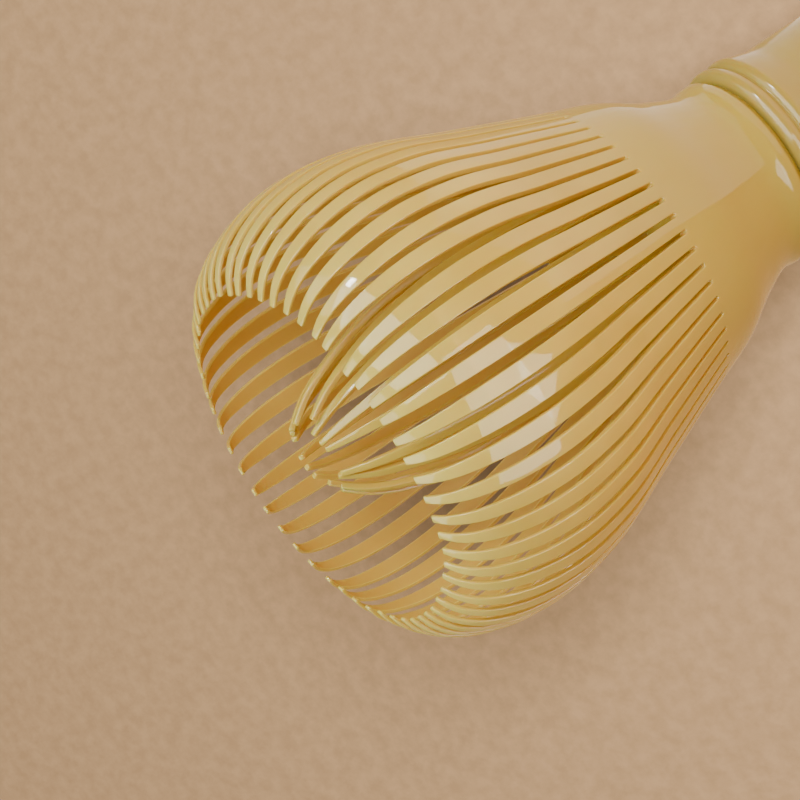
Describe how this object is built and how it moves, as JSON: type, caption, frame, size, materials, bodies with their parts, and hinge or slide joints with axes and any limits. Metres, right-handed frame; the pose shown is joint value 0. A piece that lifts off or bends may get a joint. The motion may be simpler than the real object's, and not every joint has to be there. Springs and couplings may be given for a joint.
{
  "type": "tea whisk",
  "caption": "Resin tea whisk: an open cage of slender curved tines round an inner tine bundle, on a flared shoulder and a hollow handle with a bamboo-node ring.",
  "frame": {"origin": "centre of the handle's flat base, which is the bottom centre of the whole whisk", "axes": "+Z runs along the whisk's axis from the handle's base to the tips of the tines; +X and +Y are two directions across it, with an outer slot centred on +X"},
  "size_m": [0.057, 0.057, 0.112],
  "materials": {
    "cage_resin": "glossy, slightly translucent pale bamboo yellow moulding resin",
    "inner_resin": "glossy, slightly translucent golden moulding resin",
    "handle_resin": "glossy pale bamboo yellow moulding resin",
    "plug_resin": "satin pale bamboo yellow moulding resin"
  },
  "bodies": {
    "root": {"outer_tine_cage": "cage_resin", "inner_tine_cage": "inner_resin", "handle_tube": "handle_resin", "end_plug": "plug_resin"}
  },
  "joints": []
}
